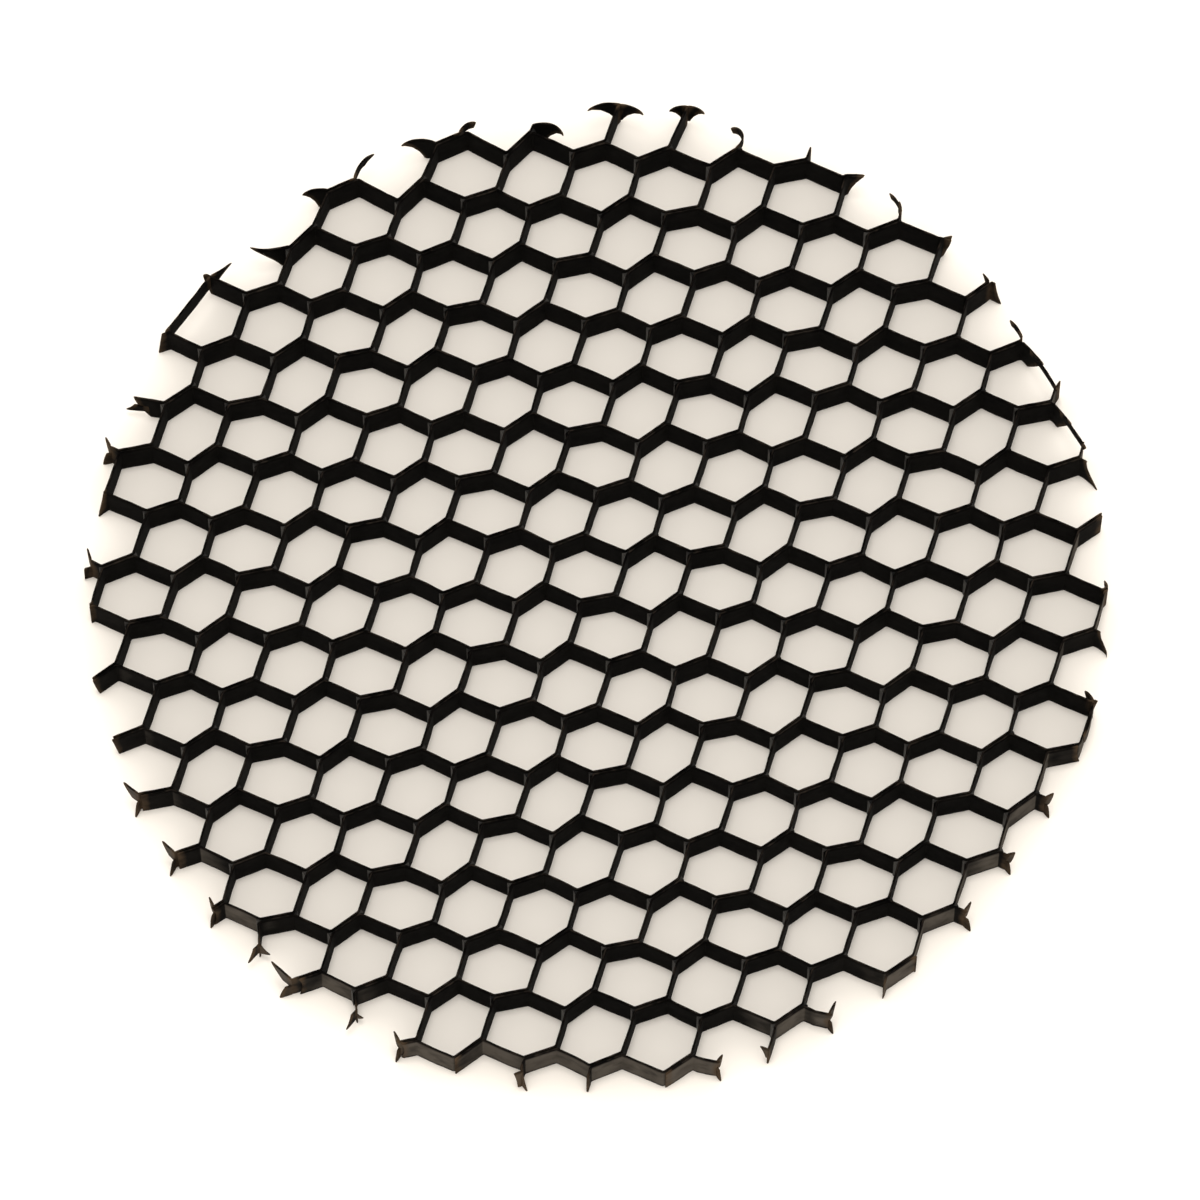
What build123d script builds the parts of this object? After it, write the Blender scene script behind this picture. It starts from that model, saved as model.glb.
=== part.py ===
from build123d import *
import os
from math import ceil, cos, radians

# Round honeycomb light grid, lying flat. Millimetres, +Z up.
# The origin is the centre of the disc's underside, where the foil edges rest.
# Strips of foil run side by side across the disc. Each one is folded into a zigzag between two
# glue seams, where it lies flat against its neighbours and is glued to them: these are the
# double walls of the cells. The walls between the seams are one foil thick.

# The disc
DISC_RADIUS = 24.75
CORE_DEPTH = 2.5
FOIL_THICKNESS = 0.10
GLUE_THICKNESS = 0.03

# The cells
NODE_PITCH = 5.84        # from one glued stripe to the next, along a foil ribbon
SEAM_SPACING = 1.628     # from one glue seam to the next, across the ribbons
BOND_LENGTH = 1.63       # length of a double wall
BEND_RADIUS = 0.16       # fold in the middle of the foil
RIBBON_ANGLE = 24.8      # degrees from +X
CELL_X, CELL_Y = -0.52, 0.80    # centre of the cell that the lattice is counted from
FIRST_SEAM, LAST_SEAM = -15, 15

# The glued stripes aren't quite evenly staggered. Their error repeats every five seams, and it
# gives flat and tall rows of cells. A double wall turns towards the stripes on either side of it.
SEAM_DRIFT = -0.038      # along the ribbon, added at every seam
STRIPE_ERROR = 0.092     # largest error along the ribbon
ERROR_TURN = 144.0       # degrees of the error wave from one seam to the next
ERROR_START = -47.0      # where the wave is at the seam counted as zero
TURN_PER_MM = 125.0      # degrees of double wall for each mm between its neighbours' errors
SLIPS = {-15: -0.107, -14: -0.065}    # the seams at the upper edge are further off, along the ribbon

# The glue pads
PAD_LENGTH = 1.20
PAD_SETBACK = 0.12       # from the cut edges of the foil

along = Vector(1, 0, 0).rotate(Axis.Z, RIBBON_ANGLE)
across = Vector(0, 1, 0).rotate(Axis.Z, RIBBON_ANGLE)
first_cell = Vector(CELL_X, CELL_Y)
foil_offset = (FOIL_THICKNESS + GLUE_THICKNESS) / 2


def stripe_error(seam):
    return STRIPE_ERROR * cos(radians(ERROR_TURN * seam + ERROR_START)) + SLIPS.get(seam, 0.0)


def bond_place(seam, column):
    """The middle of a double wall, and the way that the wall runs."""
    step = column + 0.5 + 0.5 * (seam % 2)
    distance = step * NODE_PITCH + seam * SEAM_DRIFT + stripe_error(seam)
    middle = first_cell + along * distance - across * (seam * SEAM_SPACING)
    turn = TURN_PER_MM * (stripe_error(seam + 1) - stripe_error(seam - 1))
    return middle, along.rotate(Axis.Z, turn)


def bond_columns():
    """Enough columns of double walls to cross the disc, and one more at each end."""
    reach = ceil(DISC_RADIUS / NODE_PITCH) + 1
    return range(-reach, reach)


def foil_line(upper_seam):
    """Corners of the foil's middle line, which zigzags between a seam and the one below it."""
    corners = []
    for column in bond_columns():
        for seam in (upper_seam, upper_seam + 1):
            # A ribbon hangs below its upper seam and stands on its lower one.
            side = -1 if seam == upper_seam else 1
            shift = seam % 2 == 0 and upper_seam % 2 == 1
            middle, way = bond_place(seam, column + (1 if shift else 0))
            normal = way.rotate(Axis.Z, 90) * (side * foil_offset)
            corners.append(middle + normal - way * (BOND_LENGTH / 2))
            corners.append(middle + normal + way * (BOND_LENGTH / 2))
    return corners


def seam_pads(seam):
    """Outlines of a seam's glue pads, cut to the disc. One that loses its middle has let go."""
    pads = []
    for column in bond_columns():
        middle, way = bond_place(seam, column)
        if middle.length > DISC_RADIUS:
            continue
        turn = way.get_signed_angle(Vector(1, 0, 0), Vector(0, 0, -1))
        with BuildSketch() as pad:
            Circle(DISC_RADIUS)
            with Locations(Location(middle, (0, 0, turn))):
                Rectangle(PAD_LENGTH, GLUE_THICKNESS, mode=Mode.INTERSECT)
        pads.append(pad.sketch.face())
    return pads


def glued_pieces(outline, pads):
    """The pieces of a cut ribbon that a glue pad still holds."""
    touch = GLUE_THICKNESS / 10
    return [face for face in outline.faces() if any(face.distance_to(pad) < touch for pad in pads)]


os.makedirs("parts", exist_ok=True)

# Outside the first seam, and the one past the last, there is no foil left on the disc to glue.
glue_outlines = {seam: seam_pads(seam) for seam in range(FIRST_SEAM + 1, LAST_SEAM + 1)}

for number, seam in enumerate(range(FIRST_SEAM, LAST_SEAM + 1), start=1):
    with BuildSketch() as zigzag:
        with BuildLine():
            FilletPolyline(*foil_line(seam), radius=BEND_RADIUS)
            offset(amount=FOIL_THICKNESS / 2)
        make_face()
        Circle(DISC_RADIUS, mode=Mode.INTERSECT)
    pads = glue_outlines.get(seam, []) + glue_outlines.get(seam + 1, [])
    with BuildPart() as foil_ribbon:
        with BuildSketch():
            add(glued_pieces(zigzag.sketch, pads))
        extrude(amount=CORE_DEPTH)
    name = f"foil_ribbon_{number:02d}"
    foil_ribbon.part.label = name
    export_step(foil_ribbon.part, f"parts/{name}.step")

# The uppermost seam only holds the two scraps of the first ribbon, so its pads go with the next seam's.
glue_outlines[FIRST_SEAM + 2] += glue_outlines.pop(FIRST_SEAM + 1)

for number, seam in enumerate(sorted(glue_outlines), start=1):
    with BuildPart() as glue_seam:
        with BuildSketch(Plane.XY.offset(PAD_SETBACK)):
            add(glue_outlines[seam])
        extrude(amount=CORE_DEPTH - 2 * PAD_SETBACK)
    name = f"glue_seam_{number:02d}"
    glue_seam.part.label = name
    export_step(glue_seam.part, f"parts/{name}.step")
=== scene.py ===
import bisect
import math
import random

import bpy
from mathutils import Matrix, Vector, noise


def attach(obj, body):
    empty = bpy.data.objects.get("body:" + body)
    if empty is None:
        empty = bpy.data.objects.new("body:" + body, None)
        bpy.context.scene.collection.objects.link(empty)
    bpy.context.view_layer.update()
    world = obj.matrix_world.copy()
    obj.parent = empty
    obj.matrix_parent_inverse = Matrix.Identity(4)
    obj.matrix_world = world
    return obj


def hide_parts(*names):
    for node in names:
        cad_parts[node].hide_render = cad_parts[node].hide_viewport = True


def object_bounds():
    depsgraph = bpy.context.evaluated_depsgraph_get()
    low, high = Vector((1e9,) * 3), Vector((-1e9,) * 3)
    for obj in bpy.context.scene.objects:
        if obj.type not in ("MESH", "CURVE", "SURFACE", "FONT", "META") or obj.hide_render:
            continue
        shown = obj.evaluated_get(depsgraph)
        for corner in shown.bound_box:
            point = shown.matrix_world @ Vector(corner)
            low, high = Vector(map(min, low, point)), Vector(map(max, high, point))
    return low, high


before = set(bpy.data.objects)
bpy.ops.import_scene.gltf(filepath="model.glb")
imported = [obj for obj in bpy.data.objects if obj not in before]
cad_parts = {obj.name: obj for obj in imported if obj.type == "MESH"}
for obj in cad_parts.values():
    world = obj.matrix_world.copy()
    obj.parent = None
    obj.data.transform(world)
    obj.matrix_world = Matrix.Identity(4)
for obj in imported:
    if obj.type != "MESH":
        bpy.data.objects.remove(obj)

# Round honeycomb light grid: zigzag foil ribbons glued at their double walls, coated matt black
# and cut to a disc that lies flat on the floor. The grid's own lengths are in millimetres, and a
# mesh is turned into metres when it is made. The studio's lengths are in metres.

CAD_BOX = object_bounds()
MM = 0.001

# The disc, from the frame
BOX_LOW, BOX_HIGH = (corner / MM for corner in CAD_BOX)
RIM_RADIUS = max(BOX_HIGH.x, -BOX_LOW.y)
DEPTH = BOX_HIGH.z - BOX_LOW.z
RIBBON_NODES = sorted(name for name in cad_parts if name.startswith("foil_ribbon"))
GLUE_NODES = sorted(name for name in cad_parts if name.startswith("glue_seam"))

# The cells
FOIL = 0.10                 # foil with its coating
GLUE = 0.03                 # between two foils
NODE_PITCH = 5.84           # along a ribbon, from one double wall to the next
SEAM_SPACING = 1.628        # across the ribbons
BOND_LENGTH = 1.63          # length of a double wall
RIBBON_ANGLE = math.radians(24.8)     # from +X
FIRST_CELL = Vector((-0.52, 0.80))    # centre of the cell that the lattice is counted from
FIRST_SEAM, LAST_SEAM = -15, 15

# The glued stripes aren't quite evenly staggered: their error repeats every five seams
SEAM_DRIFT = -0.038         # along the ribbon, added at every seam
STRIPE_ERROR = 0.092        # largest error along the ribbon
ERROR_TURN = math.radians(144)        # of the error wave, from one seam to the next
ERROR_START = math.radians(-47)       # where the wave is at the seam counted as zero
TURN_PER_MM = math.radians(125)       # of a double wall, per mm between its neighbours' errors
SLIPS = {-15: -0.107, -14: -0.065}    # the seams at the upper edge are further off

# The folds and the free walls
FOLD_RADIUS = 0.16
FOLD_STEPS = 4
WALL_STEP = 0.24            # between samples along a wall
BOW = 0.022                 # free walls are bowed by up to this
BUCKLE = 0.016              # and dented by up to this
DENTS_PER_MM = 0.8
RIBBON_SEED = 3.7           # sets each ribbon's unevenness apart from the next one's

# The cut edges
EDGE_RAGGED = 0.022         # unevenness of the cut edges
LOW_RAGS_PER_MM, HIGH_RAGS_PER_MM = 2.3, 2.1
HIGH_EDGE_SEED = Vector((0, 0, 9))    # sets the upper edge apart from the lower one
EDGE_LEAN = 0.018           # burr leaning over at the cut edges
LEANS_PER_MM = 2.5
LEAN_SEED = 5               # sets the burr apart from the dents
RIM_HALVINGS = 20           # to find where a ribbon crosses the rim

# Rows up the foil's face: the share of its height, of its thickness and of the wear
ROWS = (0.0, 0.012, 0.12, 0.36, 0.64, 0.88, 0.988, 1.0)
ROW_THICKNESS = (0.50, 1.0, 1.0, 1.0, 1.0, 1.0, 1.0, 0.50)
ROW_WEAR = (1.0, 0.75, 0.0, 0.0, 0.0, 0.0, 0.75, 1.0)

# The ribbons' ends
TAIL_STEP = 0.10            # between samples along a bent end
CURL_POWER = 1.6            # above 1, so that a tail curls most at its tip
ROOT_INSET = 0.02           # a scrap is rooted this far behind the deepest part of the cut
CUT_REACH = 0.25            # a torn shape fades out along the ribbon over this
CUT_SPREAD = 1.6            # and this many times its own depth
END_FACE = 0.01             # what lies nearer to the tip than this is its end face
END_THICKNESS = 0.6         # share of the foil's thickness there
LOOK_AROUND = 0.03          # the foil's direction is taken from this far behind and ahead
LEAST_GAP = 1e-6            # so that no two samples are at the same distance

# Where the coating is torn, and where the outward faces at the rim get a painted highlight: each mark
# rises or fades from the first value to the second
TORN_FROM_TIP = (0.05, 0.7)           # distance from the tip
RIM_HIGHLIGHT_RADIUS = (22.0, 23.4)         # distance from the disc's centre
RIM_HIGHLIGHT_FACING = (0.35, 0.9)          # how squarely a face looks outward

# The glued stripes, with their beads in the cell corners. The profile of a stripe's end is its
# half width at each distance along the wall.
BEAD_PROFILE = ((0.0, 0.015), (0.07, 0.020), (0.13, 0.040), (0.19, 0.072), (0.25, 0.115))
BEAD_INSET = 0.06           # the profile starts this far inside the double wall's end
BEAD_ROWS = (0.05, 0.09, 0.5, 0.91, 0.95)
EDGE_DRAW = 0.99            # the first and last rows are drawn in to this
GLUE_WOBBLE = 0.006
WOBBLES_PER_MM = 3
ROW_SEED = 2                # sets the wobble of each row apart from the next one's
RIM_DAMAGE = 0.8            # the glue this near to the rim has broken away

# The finish, in linear colours
SHARP_EDGE = math.radians(50)
BLACK_COAT = (0.0012, 0.0010, 0.0009, 1)
WORN_COAT = (0.0045, 0.0037, 0.0030, 1)
# Painted highlight: the grey of outward faces near the rim, standing in for light that falls on them
RIM_HIGHLIGHT_COLOUR = (0.070, 0.060, 0.049, 1)
RUBBED_EDGE = (0.016, 0.012, 0.009, 1)
TORN_TIP = (0.062, 0.040, 0.023, 1)
COAT_TONES = (0.35, 0.70)   # where the mottle stops being black, and where it is all worn
COAT_SPECULAR = 0.008
COAT_ROUGHNESS = (0.58, 0.74)
# The first mask is for the painted highlight on outward rim faces.
RIM_HIGHLIGHT_MASK = (0.10, 0.55)   # where each mark, broken up by noise, starts to show and shows fully
WEAR_MASK = (0.44, 0.66)
TORN_MASK = (0.25, 0.70)
GRAIN_STRENGTH = 0.25
GRAIN_DEPTH = 0.00001       # metres
DARK_GLUE = (0.002, 0.0016, 0.0013, 1)
# Partly painted glint: the pale brown-grey of the glue also stands in for light catching the beads in
# the cell corners
PALE_GLUE_AND_GLINT = (0.030, 0.027, 0.023, 1)
GLUE_TONES = (0.35, 0.65)
GLUE_SPECULAR = 0.05
GLUE_ROUGHNESS = 0.48

# The textures: how many to the metre, and how much fine detail
MOTTLE = (900.0, 5.0)
SCRATCHES = (2600.0, 3.0)
GRAIN = (14000.0, 2.0)
CLOUD = (1500.0, 4.0)

# The studio, in metres
FLOOR_REACH = 3.0
FLOOR_GAP = 0.00002         # between the grid and the floor
PALE_FLOOR = (0.93, 0.858, 0.762, 1)
FLOOR_SPECULAR = 0.1
FLOOR_ROUGHNESS = 0.9
BACKDROP_STRENGTH = 1.15
LIGHT_HEIGHT = 1.6
LIGHT_SIZE = 0.4
LIGHT_POWER = 12.5
FOCAL_LENGTH = 342.2        # of the lens, and the width of the sensor, both in millimetres
SENSOR_WIDTH = 36.0
CLIP_START, CLIP_END = 0.05, 20.0
CAMERA_RISE = math.radians(72.16)     # above the floor
CAMERA_DISTANCE = 0.55
AIM_X, AIM_Y = 0.24 * MM, -0.85 * MM

# Shapes of a torn end: how far it is set back at its top, middle and bottom
SQUARE = (0.0, 0.0, 0.0)
SHALLOW_FORK = (0.0, 0.15, 0.0)
SPUR = (0.40, 0.25, 0.0)
SLIVER_TIP = (0.0, 0.05, 0.12)

# The same for ends that taper: the setback of their middle and foot, as shares of their length
HORN_MIDDLE, HORN_FOOT = 0.60, 0.92
CORNER_MIDDLE, CORNER_FOOT = 0.18, 0.50

# Shares of the depth, from the lower edge to the upper one
WHOLE, UPPER, LOWER = (0.0, 1.0), (0.42, 1.0), (0.0, 0.58)


def horn(length):
    """A torn end that tapers to a tip at the top."""
    return (0.0, HORN_MIDDLE * length, HORN_FOOT * length)


def tail(heading, length, curl=0.0, cut=SQUARE, part=WHOLE):
    """A bent piece of foil at the rim: the way it sets off in degrees, its length, how far it curls
    in degrees, how it is torn, and which share of the depth it is."""
    return heading, length, curl, cut, part


def sliver(heading, length, curl=0.0, share=0.3):
    """A thin strip torn from the upper edge."""
    return tail(heading, length, curl, SLIVER_TIP, (1 - share, 1.0))


def torn_pair(upper_heading, upper_length, lower_heading, lower_length):
    """The two torn corners of an end, each bent its own way."""
    upper_cut = (0.0, CORNER_MIDDLE * upper_length, CORNER_FOOT * upper_length)
    lower_cut = (CORNER_FOOT * lower_length, CORNER_MIDDLE * lower_length, 0.0)
    return [tail(upper_heading, upper_length, 0, upper_cut, UPPER),
            tail(lower_heading, lower_length, 0, lower_cut, LOWER)]


def rim_end(loss=0.0, cut=SQUARE, bend=None, scraps=()):
    """An end of a ribbon: the length it has lost, its torn shape, its bent tail, which is as deep as
    the ribbon, and the scraps that still stick to it."""
    return loss, cut, bend, scraps


# How the cut left the ribbons, by ribbon, stretch and end, where it isn't simply square
RIM_ENDS = {
    (1, 0, "start"): rim_end(0.75, bend=tail(176, 1.22, 52, horn(0.9))),
    (1, 0, "end"): rim_end(1.42, scraps=[tail(74, 1.65, -58, (0.0, 0.20, 0.55), (0.72, 1.0))]),
    (1, 1, "start"): rim_end(0.90, bend=tail(170, 1.55, 56, horn(1.3))),
    (1, 1, "end"): rim_end(1.08, scraps=[sliver(62, 1.05, -80)]),
    (2, 0, "start"): rim_end(2.00, bend=tail(195, 1.85, -32, horn(1.6))),
    (2, 0, "end"): rim_end(1.15, bend=tail(14, 1.80, -95, horn(1.3))),
    (3, 0, "start"): rim_end(0.30, (0.0, 0.1, 0.35),
                             scraps=[tail(234, 3.4, -2, SQUARE, (0.4, 1.0)),
                                     tail(30, 1.05, 8, horn(0.9), (0.5, 1.0))]),
    (3, 0, "end"): rim_end(0.10, scraps=[tail(172, 1.70, 55, horn(1.6), (0.15, 1.0)),
                                         tail(-8, 1.3, -50, horn(1.3), (0.15, 1.0))]),
    (4, 0, "start"): rim_end(cut=(0.25, 0.12, 0.0)),
    (4, 0, "end"): rim_end(1.95, bend=tail(66, 2.20),
                           scraps=[tail(178, 0.95, 52, horn(0.8), (0.2, 1.0)),
                                   tail(-5, 0.98, -58, horn(0.9), (0.2, 1.0))]),
    (5, 0, "start"): rim_end(1.85, bend=tail(170, 1.45, 0, (0.0, 0.25, 0.75)),
                             scraps=[tail(175, 0.80, 0, SPUR, (0.30, 0.60))]),
    (5, 0, "end"): rim_end(1.34, scraps=[sliver(42, 1.55, 172)]),
    (6, 0, "start"): rim_end(0.25, scraps=torn_pair(118, 0.50, 190, 0.45)),
    (7, 0, "start"): rim_end(0.40, (0.40, 0.22, 0.0)),
    (7, 0, "end"): rim_end(0.55, bend=tail(2, 0.95, -6, horn(0.9))),
    (8, 0, "start"): rim_end(0.40, (0.40, 0.22, 0.0)),
    (8, 0, "end"): rim_end(0.55, bend=tail(2, 0.80, -6, horn(0.8))),
    (9, 0, "start"): rim_end(0.42, scraps=torn_pair(108, 0.62, 195, 0.72)),
    (9, 0, "end"): rim_end(0.50, scraps=[tail(102, 0.45, 0, SQUARE, (0.5, 1.0)),
                                         sliver(110, 1.05, 35, 0.18)]),
    (10, 0, "start"): rim_end(0.42),
    (10, 0, "end"): rim_end(0.35, bend=tail(-16, 0.58, 0, (0.0, 0.15, 0.50))),
    (11, 0, "start"): rim_end(0.42),
    (11, 0, "end"): rim_end(0.20, bend=tail(12, 0.38, 0, (0.0, 0.15, 0.35))),
    (12, 0, "start"): rim_end(0.10, (0.0, 0.12, 0.28)),
    (12, 0, "end"): rim_end(0.10, scraps=[tail(128, 0.45, 0, horn(0.4), UPPER)]),
    (13, 0, "start"): rim_end(0.10, (0.0, 0.12, 0.28)),
    (13, 0, "end"): rim_end(0.05, scraps=[tail(-25, 0.60, 0, SPUR)]),
    (14, 0, "start"): rim_end(0.42, (0.0, 0.12, 0.25)),
    (14, 0, "end"): rim_end(0.60, scraps=[sliver(116, 1.0, 25, 0.18)]),
    (15, 0, "start"): rim_end(0.42, (0.0, 0.12, 0.25)),
    (15, 0, "end"): rim_end(0.98, bend=tail(-47, 1.45, -8, (0.0, 0.45, 1.00)),
                            scraps=[sliver(-55, 1.95, -8, 0.2)]),
    (16, 0, "start"): rim_end(0.65, scraps=torn_pair(143, 0.90, 242, 0.50)),
    (16, 0, "end"): rim_end(0.50, bend=tail(58, 0.50)),
    (17, 0, "start"): rim_end(0.65),
    (17, 0, "end"): rim_end(1.00, bend=tail(-50, 1.35, -6, (0.0, 0.45, 0.90)),
                            scraps=[sliver(-56, 1.85, -4, 0.2)]),
    (18, 0, "start"): rim_end(0.60, scraps=torn_pair(137, 0.80, 240, 0.55)),
    (19, 0, "start"): rim_end(0.60),
    (19, 0, "end"): rim_end(0.30, bend=tail(-38, 0.95, -20, (0.85, 0.70, 0.0))),
    (20, 0, "start"): rim_end(0.20, SHALLOW_FORK, scraps=torn_pair(118, 0.42, 238, 0.36)),
    (21, 0, "start"): rim_end(0.20, SHALLOW_FORK),
    (22, 0, "start"): rim_end(1.45, bend=tail(-92, 0.95, 0, SQUARE),
                              scraps=[tail(-12, 0.5, 0, SPUR, (0.3, 0.8)),
                                      tail(228, 0.8, 0, SPUR, (0.4, 0.9))]),
    (22, 0, "end"): rim_end(scraps=[sliver(120, 0.30), tail(-35, 0.25, 0, horn(0.2))]),
    (23, 0, "start"): rim_end(0.45, scraps=torn_pair(138, 1.30, 198, 0.65)),
    (24, 0, "start"): rim_end(0.45, SHALLOW_FORK),
    (24, 0, "end"): rim_end(0.35, bend=tail(-35, 0.85, -25, (0.78, 0.62, 0.0))),
    (25, 0, "start"): rim_end(1.30, bend=tail(-86, 0.80),
                              scraps=[tail(0, 0.3, 0, SPUR, (0.3, 0.8)),
                                      tail(232, 0.8, 0, SPUR, (0.4, 0.9))]),
    (25, 0, "end"): rim_end(0.10, scraps=[sliver(118, 0.6, 40), tail(-20, 0.22, 0, horn(0.2)),
                                          tail(-97, 1.9, -22, (0.0, 0.1, 0.3), (0.25, 1.0))]),
    (26, 0, "start"): rim_end(bend=tail(175, 0.14, 0, SHALLOW_FORK),
                              scraps=torn_pair(118, 0.48, 238, 0.33)),
    (27, 0, "start"): rim_end(bend=tail(175, 0.14, 0, SHALLOW_FORK)),
    (27, 0, "end"): rim_end(cut=(0.15, 0.15, 0.0)),
    (28, 0, "end"): rim_end(0.45, SHALLOW_FORK, scraps=torn_pair(25, 0.36, -50, 0.32)),
    (29, 0, "start"): rim_end(0.28, bend=tail(-80, 0.20),
                              scraps=[tail(200, 0.40, 0, horn(0.2)), tail(-52, 0.38, 0, SPUR)]),
    (29, 0, "end"): rim_end(0.62, SHALLOW_FORK, scraps=torn_pair(12, 0.34, -48, 0.30)),
    (30, 0, "end"): rim_end(0.50, SHALLOW_FORK, scraps=torn_pair(52, 0.45, -42, 0.40)),
    (31, 0, "end"): rim_end(0.85, bend=tail(-14, 1.10, 8, SHALLOW_FORK),
                            scraps=torn_pair(50, 0.35, -52, 0.28)),
    (31, 1, "start"): rim_end(scraps=[tail(160, 0.40, 0, horn(0.3), UPPER)]),
    (31, 1, "end"): rim_end(1.15, bend=tail(-14, 0.85, 6, SHALLOW_FORK),
                            scraps=torn_pair(62, 0.62, -50, 0.30)),
    (31, 2, "start"): rim_end(0.60),
    (31, 2, "end"): rim_end(0.55),
}

dice = random.Random(7)


def stripe_error(seam):
    """How far a seam's stripes are out of place, along the ribbon."""
    return STRIPE_ERROR * math.cos(ERROR_TURN * seam + ERROR_START) + SLIPS.get(seam, 0.0)


def direction(angle):
    return Vector((math.cos(angle), math.sin(angle)))


def left_of(way):
    return Vector((-way.y, way.x))


def bond_place(seam, column):
    """The middle of a double wall, and the way that it runs."""
    step = column + 0.5 + 0.5 * (seam % 2)
    distance = step * NODE_PITCH + seam * SEAM_DRIFT + stripe_error(seam)
    along = direction(RIBBON_ANGLE)
    middle = FIRST_CELL + along * distance - left_of(along) * (seam * SEAM_SPACING)
    turn = TURN_PER_MM * (stripe_error(seam + 1) - stripe_error(seam - 1))
    return middle, direction(RIBBON_ANGLE + turn)


def bond_columns():
    """Enough columns of double walls to cross the disc, and one more at each end."""
    reach = math.ceil(RIM_RADIUS / NODE_PITCH) + 1
    return range(-reach, reach)


def ribbon_corners(upper_seam):
    """Corners of the foil's middle line. Every other stretch, from the first, is a double wall."""
    corners = []
    for column in bond_columns():
        for seam in (upper_seam, upper_seam + 1):
            # A ribbon hangs below its upper seam and stands on its lower one.
            side = -1 if seam == upper_seam else 1
            shift = seam % 2 == 0 and upper_seam % 2 == 1
            middle, way = bond_place(seam, column + (1 if shift else 0))
            seat = middle + left_of(way) * (side * (FOIL + GLUE) / 2)
            corners.append(seat - way * (BOND_LENGTH / 2))
            corners.append(seat + way * (BOND_LENGTH / 2))
    return corners


def fold_places(corner, before, after):
    """The rounded fold at a corner, between the directions before and after it."""
    turn = before.angle_signed(after)
    reach = FOLD_RADIUS * math.tan(abs(turn) / 2)
    side = -1 if turn > 0 else 1
    centre = corner - before * reach + left_of(before) * (side * FOLD_RADIUS)
    arm = corner - before * reach - centre
    turns = [Matrix.Rotation(-turn * step / FOLD_STEPS, 2) for step in range(FOLD_STEPS + 1)]
    return [centre + rotation @ arm for rotation in turns]


def ribbon_line(upper_seam):
    """Places along the whole foil ribbon, longer than the disc at both ends, and how free each is."""
    corners = ribbon_corners(upper_seam)
    ways = [(there - here).normalized() for here, there in zip(corners, corners[1:])]
    folds = [fold_places(corners[i], ways[i - 1], ways[i]) for i in range(1, len(corners) - 1)]
    line = []
    for i, (fold, next_fold) in enumerate(zip(folds, folds[1:])):
        line += [(place, 0.0) for place in fold]
        start, end = fold[-1], next_fold[0]
        free = i % 2 == 0
        bow = dice.uniform(-BOW, BOW) if free else 0.0
        steps = max(2, round((end - start).length / WALL_STEP))
        for step in range(1, steps):
            swell = math.sin(math.pi * step / steps)
            place = start.lerp(end, step / steps) + left_of(ways[i + 1]) * (bow * swell)
            line.append((place, swell if free else 0.0))
    return line


def rim_crossing(inside, outside):
    """The last place inside the rim between two places on either side of it."""
    for _ in range(RIM_HALVINGS):
        half = (inside + outside) / 2
        if half.length < RIM_RADIUS:
            inside = half
        else:
            outside = half
    return inside


def cut_to_disc(line):
    """The stretches of the line that lie inside the rim, with a sample where each is cut."""
    runs, run = [], []
    for (here, freedom), (there, _) in zip(line, line[1:]):
        here_in, there_in = here.length < RIM_RADIUS, there.length < RIM_RADIUS
        if here_in:
            run.append((here, freedom))
        if here_in and not there_in:
            run.append((rim_crossing(here, there), freedom))
            runs.append(run)
            run = []
        if there_in and not here_in:
            run.append((rim_crossing(there, here), freedom))
    return [run for run in runs if len(run) > 2]


def holds_glue(run, upper_seam):
    """True if one of the ribbon's glued double walls has its middle on this stretch."""
    for seam in (upper_seam, upper_seam + 1):
        if not FIRST_SEAM < seam <= LAST_SEAM:
            continue
        for column in bond_columns():
            middle, _ = bond_place(seam, column)
            nearest = min((place - middle).length for place, _ in run)
            if middle.length < RIM_RADIUS and nearest < BOND_LENGTH / 4:
                return True
    return False


def trimmed(run, loss):
    """The run without the last part of its length."""
    run = list(run)
    while len(run) > 2:
        gap = (run[-1][0] - run[-2][0]).length
        if gap > loss:
            end = run[-1][0].lerp(run[-2][0], loss / gap)
            return run[:-1] + [(end, run[-1][1])]
        loss -= gap
        run.pop()
    return run


def tail_places(start, heading, length, curl):
    """Places along a tail that curls more and more towards its tip, without its start."""
    steps = max(2, round(length / TAIL_STEP))
    places = []
    for step in range(steps):
        share = (step + 0.5) / steps
        angle = math.radians(heading + curl * share ** CURL_POWER)
        start = start + direction(angle) * (length / steps)
        places.append((start, 1.0))
    return places


def rim_shaped(run, number, stretch):
    """Foil strips, each a run with its two cuts and its share of the depth: the stretch with both of
    its ends as the cut left them, and its scraps."""
    scraps = []
    cuts = {}
    for end in ("start", "end"):
        loss, cut, bend, stuck = RIM_ENDS.get((number, stretch, end), rim_end())
        if end == "start":
            run = run[::-1]
        run = trimmed(run, loss)
        if bend:
            heading, length, curl, cut, _ = bend
            run = run + tail_places(run[-1][0], heading, length, curl)
        inset = max(cut) + ROOT_INSET
        root = trimmed(run, inset)[-1]
        for heading, length, curl, scrap_cut, part in stuck:
            places = tail_places(root[0], heading, length + inset / 2, curl)
            scraps.append(([root] + places, SQUARE, scrap_cut, part))
        if end == "start":
            run = run[::-1]
        cuts[end] = cut
    return [(run, cuts["start"], cuts["end"], WHOLE)] + scraps


def eased(value, low, high):
    """0 below low, 1 above high, and a smooth step between."""
    share = min(max((value - low) / (high - low), 0.0), 1.0)
    return share * share * (3 - 2 * share)


def setback(cut, share):
    """How far a cut is set back at a share of the height, on a curve through its three values."""
    top, middle, low = cut
    return (low * (1 - share) * (1 - 2 * share) + middle * 4 * share * (1 - share)
            + top * share * (2 * share - 1))


def cut_pull(cut, from_tip, length):
    """How much of a cut's setback is left at a distance from the tip: all of it at the tip itself."""
    reach = min(CUT_REACH + CUT_SPREAD * max(cut), length)
    return max(0.0, 1 - from_tip / reach)


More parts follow.
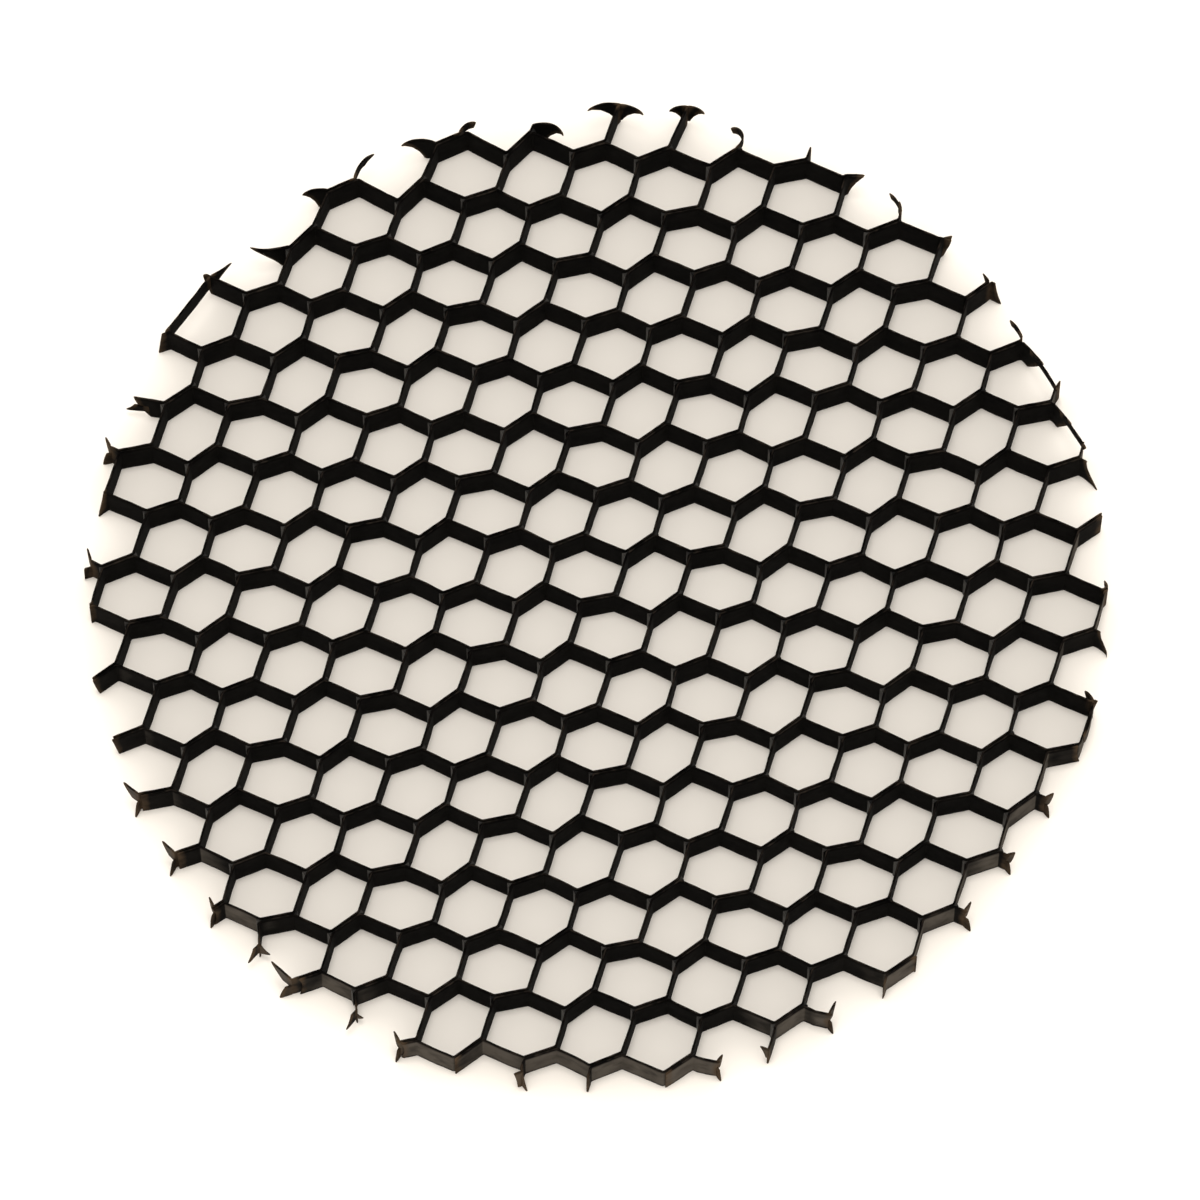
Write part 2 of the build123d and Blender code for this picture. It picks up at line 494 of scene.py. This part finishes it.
def travelled(places):
    """The distance of each place along a path."""
    travel = [0.0]
    for here, there in zip(places, places[1:]):
        travel.append(travel[-1] + max((there - here).length, LEAST_GAP))
    return travel


def place_at(places, travel, distance):
    """The place at a distance along a path."""
    index = min(max(bisect.bisect_right(travel, distance) - 1, 0), len(places) - 2)
    gap = travel[index + 1] - travel[index]
    return places[index].lerp(places[index + 1], (distance - travel[index]) / gap)


def left_at(places, travel, distance):
    """The way to the left of a path, at a distance along it."""
    behind = place_at(places, travel, max(0.0, distance - LOOK_AROUND))
    ahead = place_at(places, travel, min(travel[-1], distance + LOOK_AROUND))
    return left_of((ahead - behind).normalized())


def ragged_edges(distance, part, seed):
    """Heights of a strip's lower and upper cut edges, at a distance along it."""
    spot = Vector((distance, seed, 0.0))
    low_rag = max(0.0, noise.noise(spot * LOW_RAGS_PER_MM))
    high_rag = max(0.0, noise.noise(spot * HIGH_RAGS_PER_MM + HIGH_EDGE_SEED))
    return DEPTH * part[0] + EDGE_RAGGED * low_rag, DEPTH * part[1] - EDGE_RAGGED * high_rag


def section_points():
    """The foil's closed section, up its left face and down its right one: the side and the row."""
    rows = range(len(ROWS))
    return [(1, row) for row in rows] + [(-1, row) for row in reversed(rows)]


def inside_box(corner):
    """The corner, brought back to the CAD's box where it is past it."""
    corner.x = min(max(corner.x, BOX_LOW.x), BOX_HIGH.x)
    corner.y = min(max(corner.y, BOX_LOW.y), BOX_HIGH.y)
    return corner


def strip_points(run, start_cut, end_cut, part, seed):
    """Vertices of one strip of folded foil, ring by ring, how worn and torn each is, and how much
    painted highlight it gets.
    """
    places = [place for place, _ in run]
    travel = travelled(places)
    length = travel[-1]
    vertices, wear, scuff, torn = [], [], [], []
    for (_, freedom), distance in zip(run, travel):
        from_tip = min(distance, length - distance)
        at_end = from_tip < END_FACE
        start_pull = cut_pull(start_cut, distance, length)
        end_pull = cut_pull(end_cut, length - distance, length)
        low, high = ragged_edges(distance, part, seed)
        for side, row in section_points():
            share = ROWS[row]
            shifted = (distance + start_pull * setback(start_cut, share)
                       - end_pull * setback(end_cut, share))
            middle = place_at(places, travel, shifted)
            left = left_at(places, travel, shifted)
            height = low + (high - low) * share
            dent_spot = Vector((distance, seed, height))
            lean_spot = Vector((distance, seed + LEAN_SEED, height))
            dent = BUCKLE * freedom * noise.noise(dent_spot * DENTS_PER_MM)
            lean = EDGE_LEAN * ROW_WEAR[row] * noise.noise(lean_spot * LEANS_PER_MM)
            half = FOIL / 2 * ROW_THICKNESS[row] * (END_THICKNESS if at_end else 1.0)
            corner = inside_box(middle + left * (side * half + dent + lean))
            vertices.append((corner.x, corner.y, height))
            # Painted highlight: middle rows of faces near the rim that look outward are marked to be
            # painted grey, for the light that falls on them.
            facing = max(0.0, (left * side).dot(middle.normalized()))
            near_rim = eased(middle.length, *RIM_HIGHLIGHT_RADIUS)
            wear.append(1.0 if at_end else ROW_WEAR[row])
            scuff.append((1 - ROW_WEAR[row]) * near_rim * eased(facing, *RIM_HIGHLIGHT_FACING))
            torn.append(1 - eased(from_tip, *TORN_FROM_TIP))
    return vertices, wear, scuff, torn


def strip_faces(rings):
    """Faces of a foil strip: all round it from ring to ring, and across it at both ends."""
    faces = []
    count = len(ROWS)
    ring = 2 * count
    for i in range(rings - 1):
        near, far = i * ring, (i + 1) * ring
        for j in range(ring):
            k = (j + 1) % ring
            faces.append((near + j, near + k, far + k, far + j))
    last = (rings - 1) * ring
    for j in range(count - 1):
        mirror = ring - 1 - j
        faces.append((j, mirror, mirror - 1, j + 1))
        faces.append((last + j, last + j + 1, last + mirror - 1, last + mirror))
    return faces


def glue_outline(seam, column):
    """A glued stripe's outline with its end beads: places along one foil, and along the other."""
    middle, way = bond_place(seam, column)
    half = BOND_LENGTH / 2 - BEAD_INSET
    stations = [(-half - reach, width) for reach, width in reversed(BEAD_PROFILE)]
    stations += [(half + reach, width) for reach, width in BEAD_PROFILE]
    stations = [(along, width) for along, width in stations
                if (middle + way * along).length < RIM_RADIUS - RIM_DAMAGE]
    upper = [middle + way * along + left_of(way) * width for along, width in stations]
    lower = [middle + way * along - left_of(way) * width for along, width in stations]
    return upper, lower


def stripe_points(outline):
    """Vertices of a glued stripe, row by row, drawn in a little at its first and last rows."""
    vertices = []
    middle = sum(outline, Vector((0, 0))) / len(outline)
    for row in BEAD_ROWS:
        draw = EDGE_DRAW if row in (BEAD_ROWS[0], BEAD_ROWS[-1]) else 1.0
        for place in outline:
            drawn = middle + (place - middle) * draw
            spot = Vector((drawn.x, drawn.y, row * ROW_SEED))
            wobble = GLUE_WOBBLE * noise.noise(spot * WOBBLES_PER_MM)
            vertices.append((drawn.x, drawn.y, DEPTH * row + wobble))
    return vertices


def stripe_faces(half):
    """Faces of a glued stripe that has this many places along each of its two foils."""
    faces = []
    ring = 2 * half
    for level in range(len(BEAD_ROWS) - 1):
        under, over = level * ring, (level + 1) * ring
        for j in range(ring):
            k = (j + 1) % ring
            faces.append((under + k, under + j, over + j, over + k))
    top = (len(BEAD_ROWS) - 1) * ring
    for j in range(half - 1):
        faces.append((j, j + 1, ring - 2 - j, ring - 1 - j))
        faces.append((top + j + 1, top + j, top + ring - 1 - j, top + ring - 2 - j))
    return faces


def renumbered(faces, first):
    """The faces, for vertices that are counted from first."""
    return [tuple(first + vertex for vertex in face) for face in faces]


def mesh_piece(name, vertices, faces, material, **marks):
    """A smooth-shaded object, turned from millimetres into metres."""
    mesh = bpy.data.meshes.new(name)
    mesh.from_pydata([Vector(vertex) * MM for vertex in vertices], [], faces)
    mesh.materials.append(material)
    for mark, values in marks.items():
        mesh.attributes.new(mark, "FLOAT", "POINT").data.foreach_set("value", values)
    mesh.polygons.foreach_set("use_smooth", [True] * len(mesh.polygons))
    mesh.set_sharp_from_angle(angle=SHARP_EDGE)
    mesh.validate()
    piece = bpy.data.objects.new(name, mesh)
    bpy.context.scene.collection.objects.link(piece)
    return piece


def ribbon_piece(number, material):
    """The detailed foil of one ribbon, in one or more stretches, with its scraps."""
    upper_seam = FIRST_SEAM + number - 1
    # Besides wear and torn tips, the strips carry a mark for the painted highlight on outward rim
    # faces.
    vertices, faces, wear, scuff, torn = [], [], [], [], []
    runs = [run for run in cut_to_disc(ribbon_line(upper_seam)) if holds_glue(run, upper_seam)]
    for stretch, run in enumerate(runs):
        for line, start_cut, end_cut, part in rim_shaped(run, number, stretch):
            points = strip_points(line, start_cut, end_cut, part, number * RIBBON_SEED)
            faces += renumbered(strip_faces(len(line)), len(vertices))
            for kept, new in zip((vertices, wear, scuff, torn), points):
                kept.extend(new)
    return mesh_piece(f"folded_foil_{number:02d}", vertices, faces, material,
                      wear=wear, scuff=scuff, torn=torn)


def glue_piece(number, seams, material):
    """The glue of a node's seams: a thin stripe in each double wall, with beads in the cell corners."""
    vertices, faces = [], []
    for seam in seams:
        for column in bond_columns():
            upper, lower = glue_outline(seam, column)
            if len(upper) > len(BEAD_PROFILE):
                faces += renumbered(stripe_faces(len(upper)), len(vertices))
                vertices += stripe_points(upper + lower[::-1])
    return mesh_piece(f"glue_beads_{number:02d}", vertices, faces, material)


def new_material(name):
    """A material, with its nodes, its links and its shader."""
    material = bpy.data.materials.new(name)
    material.use_nodes = True
    tree = material.node_tree
    return material, tree.nodes, tree.links, tree.nodes["Principled BSDF"]


def noise_texture(nodes, links, coordinates, scale, detail):
    """Noise that stays with the object."""
    texture = nodes.new("ShaderNodeTexNoise")
    texture.inputs["Scale"].default_value = scale
    texture.inputs["Detail"].default_value = detail
    links.new(coordinates.outputs["Object"], texture.inputs["Vector"])
    return texture.outputs["Fac"]


def two_tones(nodes, links, texture, dark, light, places):
    """A colour that goes from dark to light as the texture rises from one place to the other."""
    ramp = nodes.new("ShaderNodeValToRGB")
    first, second = ramp.color_ramp.elements
    first.position, second.position = places
    first.color = dark
    second.color = light
    links.new(texture, ramp.inputs["Fac"])
    return ramp.outputs["Color"]


def broken_mark(nodes, links, mark, texture, limits):
    """A 0 to 1 mask from a vertex mark broken up by a texture."""
    attribute = nodes.new("ShaderNodeAttribute")
    attribute.attribute_name = mark
    product = nodes.new("ShaderNodeMath")
    product.operation = "MULTIPLY"
    links.new(attribute.outputs["Fac"], product.inputs[0])
    links.new(texture, product.inputs[1])
    mask = nodes.new("ShaderNodeMapRange")
    mask.inputs["From Min"].default_value, mask.inputs["From Max"].default_value = limits
    links.new(product.outputs["Value"], mask.inputs["Value"])
    return mask.outputs["Result"]


def mixed(nodes, links, mask, under, over):
    """The colour under, with the colour over laid on it where the mask is 1."""
    mix = nodes.new("ShaderNodeMix")
    mix.data_type = "RGBA"
    mix.inputs["B"].default_value = over
    links.new(mask, mix.inputs["Factor"])
    links.new(under, mix.inputs["A"])
    return mix.outputs["Result"]


def coated_foil():
    """Matt black coating, with a painted grey highlight on the rim's outward faces, rubbed along the
    cut edges and brownish on torn tips."""
    material, nodes, links, shader = new_material("coated_foil")
    shader.inputs["Specular IOR Level"].default_value = COAT_SPECULAR
    coordinates = nodes.new("ShaderNodeTexCoord")
    mottle = noise_texture(nodes, links, coordinates, *MOTTLE)
    scratches = noise_texture(nodes, links, coordinates, *SCRATCHES)
    black = two_tones(nodes, links, mottle, BLACK_COAT, WORN_COAT, COAT_TONES)
    # Painted highlight: outward faces near the rim turn grey, standing in for light that falls on them.
    thin = broken_mark(nodes, links, "scuff", mottle, RIM_HIGHLIGHT_MASK)
    rim_highlit = mixed(nodes, links, thin, black, RIM_HIGHLIGHT_COLOUR)
    rubbed = broken_mark(nodes, links, "wear", scratches, WEAR_MASK)
    edged = mixed(nodes, links, rubbed, rim_highlit, RUBBED_EDGE)
    tips = broken_mark(nodes, links, "torn", mottle, TORN_MASK)
    colour = mixed(nodes, links, tips, edged, TORN_TIP)
    links.new(colour, shader.inputs["Base Color"])
    coat_sheen(nodes, links, shader, scratches)
    coat_grain(nodes, links, shader, coordinates)
    return material


def coat_sheen(nodes, links, shader, scratches):
    """A roughness that rises with the scratches."""
    sheen = nodes.new("ShaderNodeMapRange")
    sheen.inputs["To Min"].default_value, sheen.inputs["To Max"].default_value = COAT_ROUGHNESS
    links.new(scratches, sheen.inputs["Value"])
    links.new(sheen.outputs["Result"], shader.inputs["Roughness"])


def coat_grain(nodes, links, shader, coordinates):
    """The fine grain of sprayed paint."""
    bump = nodes.new("ShaderNodeBump")
    bump.inputs["Strength"].default_value = GRAIN_STRENGTH
    bump.inputs["Distance"].default_value = GRAIN_DEPTH
    links.new(noise_texture(nodes, links, coordinates, *GRAIN), bump.inputs["Height"])
    links.new(bump.outputs["Normal"], shader.inputs["Normal"])


def glue_with_painted_glint():
    """Cured adhesive under the thin black coating: brown-grey, its paler patches partly a painted glint
    for light catching the beads, with a slight sheen.
    """
    material, nodes, links, shader = new_material("glue_with_painted_glint")
    shader.inputs["Roughness"].default_value = GLUE_ROUGHNESS
    shader.inputs["Specular IOR Level"].default_value = GLUE_SPECULAR
    coordinates = nodes.new("ShaderNodeTexCoord")
    cloud = noise_texture(nodes, links, coordinates, *CLOUD)
    # The paler tone is partly a painted glint, for light catching the beads.
    tone = two_tones(nodes, links, cloud, DARK_GLUE, PALE_GLUE_AND_GLINT, GLUE_TONES)
    links.new(tone, shader.inputs["Base Color"])
    return material


def pale_floor():
    """The floor's matt warm white."""
    material, _, _, shader = new_material("pale_floor")
    shader.inputs["Base Color"].default_value = PALE_FLOOR
    shader.inputs["Roughness"].default_value = FLOOR_ROUGHNESS
    shader.inputs["Specular IOR Level"].default_value = FLOOR_SPECULAR
    return material


def floor():
    """A wide pale floor just under the grid."""
    mesh = bpy.data.meshes.new("floor")
    signs = ((-1, -1), (1, -1), (1, 1), (-1, 1))
    mesh.from_pydata([(FLOOR_REACH * x, FLOOR_REACH * y, 0) for x, y in signs], [], [(0, 1, 2, 3)])
    mesh.materials.append(pale_floor())
    ground = bpy.data.objects.new("floor", mesh)
    ground.location.z = CAD_BOX[0].z - FLOOR_GAP
    bpy.context.scene.collection.objects.link(ground)


def overhead_light():
    """A large square light that looks straight down at the grid."""
    lamp = bpy.data.lights.new("overhead", "AREA")
    lamp.size = LIGHT_SIZE
    lamp.energy = LIGHT_POWER
    light = bpy.data.objects.new("overhead", lamp)
    light.location.z = LIGHT_HEIGHT
    light.rotation_euler = (-light.location).to_track_quat("-Z", "Y").to_euler()
    light.visible_camera = False
    bpy.context.scene.collection.objects.link(light)


def studio():
    """Even white surroundings and one large soft light overhead."""
    world = bpy.data.worlds.new("studio")
    world.use_nodes = True
    backdrop = world.node_tree.nodes["Background"]
    backdrop.inputs["Color"].default_value = (1.0, 1.0, 1.0, 1)
    backdrop.inputs["Strength"].default_value = BACKDROP_STRENGTH
    bpy.context.scene.world = world
    overhead_light()
    bpy.context.scene.view_settings.view_transform = "Standard"


def camera():
    """A long lens, 18 degrees off the grid's axis."""
    lens = bpy.data.cameras.new("camera")
    lens.lens = FOCAL_LENGTH
    lens.sensor_width = SENSOR_WIDTH
    lens.clip_start = CLIP_START
    lens.clip_end = CLIP_END
    view = bpy.data.objects.new("camera", lens)
    back = Vector((0.0, -math.cos(CAMERA_RISE), math.sin(CAMERA_RISE)))
    aim = Vector((AIM_X, AIM_Y, CAD_BOX[1].z))
    view.location = aim + back * CAMERA_DISTANCE
    view.rotation_euler = (-back).to_track_quat("-Z", "Y").to_euler()
    bpy.context.scene.collection.objects.link(view)
    bpy.context.scene.camera = view


camera()
studio()
floor()

foil_look = coated_foil()
for number, node in enumerate(RIBBON_NODES, start=1):
    piece = ribbon_piece(number, foil_look)
    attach(piece, "root")
    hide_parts(node)

# The first glue node holds the two uppermost seams, and each other one holds a single seam.
glue_look = glue_with_painted_glint()
glued_seams = [[seam] for seam in range(FIRST_SEAM + 2, LAST_SEAM + 1)]
glued_seams[0].append(FIRST_SEAM + 1)
for number, (node, seams) in enumerate(zip(GLUE_NODES, glued_seams), start=1):
    piece = glue_piece(number, seams, glue_look)
    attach(piece, "root")
    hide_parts(node)
